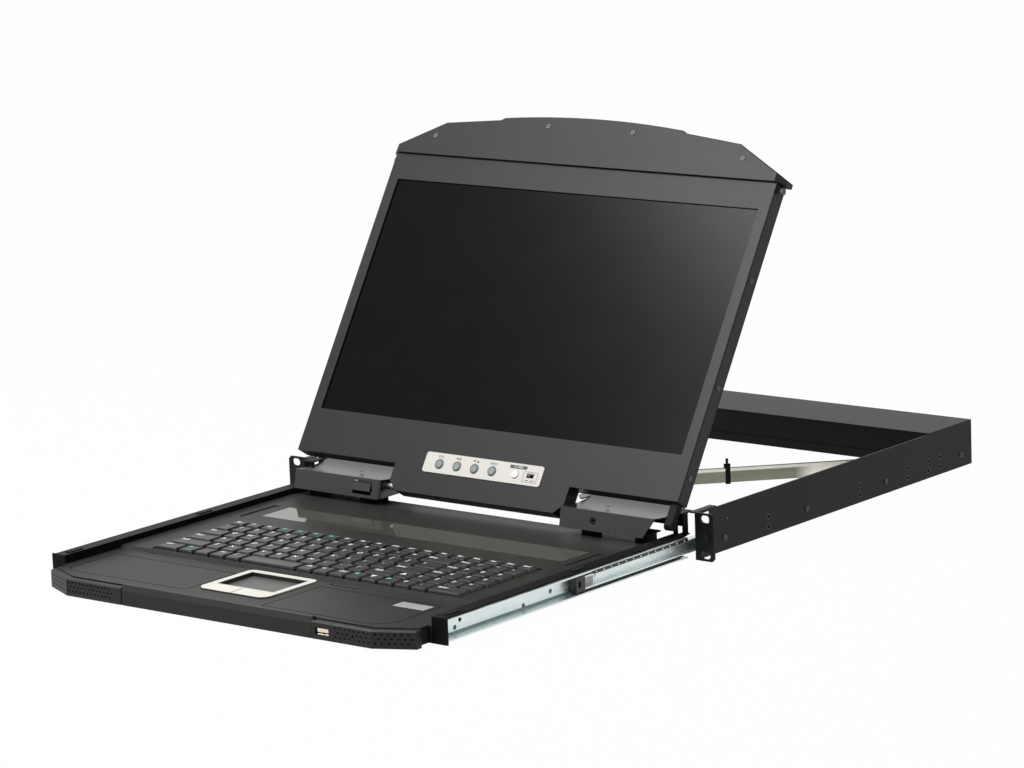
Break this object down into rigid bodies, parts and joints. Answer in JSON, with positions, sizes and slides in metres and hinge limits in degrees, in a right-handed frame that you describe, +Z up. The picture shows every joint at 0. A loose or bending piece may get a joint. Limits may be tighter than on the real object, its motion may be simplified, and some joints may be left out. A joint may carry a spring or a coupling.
{
  "type": "rack console drawer",
  "caption": "One-unit rack drawer with ball-bearing slides, a keyboard tray with touch pad, a folding LCD on friction hinges and a folding cable arm.",
  "frame": {"origin": "middle of the front face of the rack ears, halfway up the chassis", "axes": "+X to the right seen from the front, +Y back into the rack, +Z up; the drawer comes out towards -Y"},
  "size_m": [0.4826, 0.8038, 0.3474],
  "materials": {
    "chassis_black": "fine black powder coat",
    "tray_black": "fine black powder coat",
    "deck_grey": "fine moulded grain, dark warm grey",
    "front_grey": "moulded, dark grey",
    "hinge_cover_grey": "satin dark grey",
    "bezel_grey": "fine dark grey powder coat",
    "back_grey": "fine dark grey powder coat",
    "screen_black": "dark semi-gloss screen",
    "inner_white": "light box",
    "circuit_green": "circuit board",
    "supply_steel": "plain sheet case",
    "slide_zinc": "bright zinc plate, slightly blue",
    "stop_black": "moulded black",
    "arm_zinc": "plated strip",
    "screw_steel": "bright screw heads",
    "pad_silver": "pale satin silver",
    "pad_grey": "smooth dark grey",
    "strip_gloss": "glossy dark olive",
    "rubber_black": "soft pads",
    "key_grey": "moulded keys, fine grain",
    "plate_silver": "pale control plate",
    "button_grey": "satin grey buttons",
    "button_white": "white button"
  },
  "bodies": {
    "chassis": {"side_panel_left": "chassis_black", "side_panel_right": "chassis_black", "ear_screw_collars": "stop_black", "side_screws": "screw_steel", "rear_box_tray": "chassis_black", "rear_box_cover": "chassis_black", "controller_board": "circuit_green", "power_supply": "supply_steel", "chassis_slide_members": "slide_zinc", "arm_pivot": "arm_zinc"},
    "middle_slides": {"middle_slide_members": "slide_zinc", "middle_slide_stops": "stop_black"},
    "outer_retainers": {"outer_ball_retainers": "slide_zinc"},
    "inner_retainers": {"inner_ball_retainers": "slide_zinc"},
    "drawer": {"base_pan": "tray_black", "deck": "deck_grey", "pad_frame": "pad_silver", "pad_module": "pad_grey", "panel_strip": "strip_gloss", "rim_pads": "rubber_black", "grip_left": "front_grey", "grip_right": "front_grey", "front_bar": "front_grey", "usb_socket": "screw_steel", "key_plate": "pad_grey", "key_circuit": "circuit_green", "hinge_cover_left": "hinge_cover_grey", "hinge_cover_right": "hinge_cover_grey", "service_jack": "stop_black", "side_rims": "tray_black", "hinge_brackets": "tray_black", "drawer_slide_members": "slide_zinc"},
    "display": {"display_bezel": "bezel_grey", "display_back": "back_grey", "lcd_panel": "screen_black", "backlight": "inner_white", "display_board": "circuit_green", "top_cap": "bezel_grey", "display_screws": "screw_steel", "latch_studs": "screw_steel", "control_plate": "plate_silver", "cable_boot": "stop_black", "hinge_shafts": "screw_steel"},
    "rear_arm": {"rear_arm": "arm_zinc", "cable_tie": "stop_black"},
    "front_arm": {"front_arm": "arm_zinc"},
    "port_flap": {"port_flap": "hinge_cover_grey"},
    "menu_button_1": {"menu_button_1": "button_grey"},
    "menu_button_2": {"menu_button_2": "button_grey"},
    "menu_button_3": {"menu_button_3": "button_grey"},
    "menu_button_4": {"menu_button_4": "button_grey"},
    "power_button": {"power_button": "button_white"},
    "mode_switch": {"mode_switch": "button_grey"},
    "bottom_keys": {"bottom_keys": "key_grey"},
    "letter_keys": {"letter_keys": "key_grey"},
    "number_keys": {"number_keys": "key_grey"},
    "function_keys": {"function_keys": "key_grey"},
    "space_bar": {"space_bar": "key_grey"},
    "pad_button_left": {"pad_button_left": "pad_silver"},
    "pad_button_right": {"pad_button_right": "pad_silver"}
  },
  "joints": [
    {"name": "drawer_slide", "type": "slide", "parent": "chassis", "child": "drawer", "axis": [0, 1, 0], "range_m": [0, 0.336]},
    {"name": "middle_slide", "type": "slide", "parent": "chassis", "child": "middle_slides", "axis": [0, 1, 0], "range_m": [0, 0.168]},
    {"name": "outer_retainer_slide", "type": "slide", "parent": "chassis", "child": "outer_retainers", "axis": [0, 1, 0], "range_m": [0, 0.252]},
    {"name": "inner_retainer_slide", "type": "slide", "parent": "chassis", "child": "inner_retainers", "axis": [0, 1, 0], "range_m": [0, 0.084]},
    {"name": "display_hinge", "type": "hinge", "parent": "drawer", "child": "display", "pos_m": [0, -0.0198, 0.0117], "axis": [1, 0, 0], "range_deg": [0, 122]},
    {"name": "rear_arm_pivot", "type": "hinge", "parent": "chassis", "child": "rear_arm", "pos_m": [0.195, 0.355, -0.009], "axis": [0, 0, 1], "range_deg": [-45.9, 0.2]},
    {"name": "front_arm_pivot", "type": "hinge", "parent": "drawer", "child": "front_arm", "pos_m": [-0.126, 0.005, 0], "axis": [0, 0, 1], "range_deg": [-0.2, 113.7]},
    {"name": "port_flap_hinge", "type": "hinge", "parent": "drawer", "child": "port_flap", "pos_m": [-0.123, -0.0345, 0.0162], "axis": [1, 0, 0], "range_deg": [-60, 11]},
    {"name": "menu_button_1_press", "type": "slide", "parent": "display", "child": "menu_button_1", "axis": [0, 0.8474, -0.531], "range_m": [0, 0.0008], "stiffness_N_per_m": 400, "springref_m": -0.0008},
    {"name": "menu_button_2_press", "type": "slide", "parent": "display", "child": "menu_button_2", "axis": [0, 0.8474, -0.531], "range_m": [0, 0.0008], "stiffness_N_per_m": 400, "springref_m": -0.0008},
    {"name": "menu_button_3_press", "type": "slide", "parent": "display", "child": "menu_button_3", "axis": [0, 0.8474, -0.531], "range_m": [0, 0.0008], "stiffness_N_per_m": 400, "springref_m": -0.0008},
    {"name": "menu_button_4_press", "type": "slide", "parent": "display", "child": "menu_button_4", "axis": [0, 0.8474, -0.531], "range_m": [0, 0.0008], "stiffness_N_per_m": 400, "springref_m": -0.0008},
    {"name": "power_button_press", "type": "slide", "parent": "display", "child": "power_button", "axis": [0, 0.8474, -0.531], "range_m": [0, 0.0008], "stiffness_N_per_m": 400, "springref_m": -0.0008},
    {"name": "mode_switch_slide", "type": "slide", "parent": "display", "child": "mode_switch", "axis": [1, 0, 0], "range_m": [0, 0.002]},
    {"name": "bottom_keys_press", "type": "slide", "parent": "drawer", "child": "bottom_keys", "axis": [0, 0, -1], "range_m": [0, 0.0022], "stiffness_N_per_m": 3080, "springref_m": -0.001},
    {"name": "letter_keys_press", "type": "slide", "parent": "drawer", "child": "letter_keys", "axis": [0, 0, -1], "range_m": [0, 0.0022], "stiffness_N_per_m": 11440, "springref_m": -0.001},
    {"name": "number_keys_press", "type": "slide", "parent": "drawer", "child": "number_keys", "axis": [0, 0, -1], "range_m": [0, 0.0022], "stiffness_N_per_m": 3960, "springref_m": -0.001},
    {"name": "function_keys_press", "type": "slide", "parent": "drawer", "child": "function_keys", "axis": [0, 0, -1], "range_m": [0, 0.0022], "stiffness_N_per_m": 4180, "springref_m": -0.001},
    {"name": "space_bar_press", "type": "slide", "parent": "drawer", "child": "space_bar", "axis": [0, 0, -1], "range_m": [0, 0.0022], "stiffness_N_per_m": 440, "springref_m": -0.001},
    {"name": "pad_button_left_press", "type": "slide", "parent": "drawer", "child": "pad_button_left", "axis": [0, 0, -1], "range_m": [0, 0.0004], "stiffness_N_per_m": 900, "springref_m": -0.0005},
    {"name": "pad_button_right_press", "type": "slide", "parent": "drawer", "child": "pad_button_right", "axis": [0, 0, -1], "range_m": [0, 0.0004], "stiffness_N_per_m": 900, "springref_m": -0.0005}
  ],
  "couplings": [
    {"joint": "middle_slide", "follows": "drawer_slide", "ratio": 0.5},
    {"joint": "outer_retainer_slide", "follows": "drawer_slide", "ratio": 0.75},
    {"joint": "inner_retainer_slide", "follows": "drawer_slide", "ratio": 0.25},
    {"joint": "rear_arm_pivot", "follows": "drawer_slide", "rad_per_m": -2.379},
    {"joint": "front_arm_pivot", "follows": "drawer_slide", "rad_per_m": 5.9009}
  ]
}
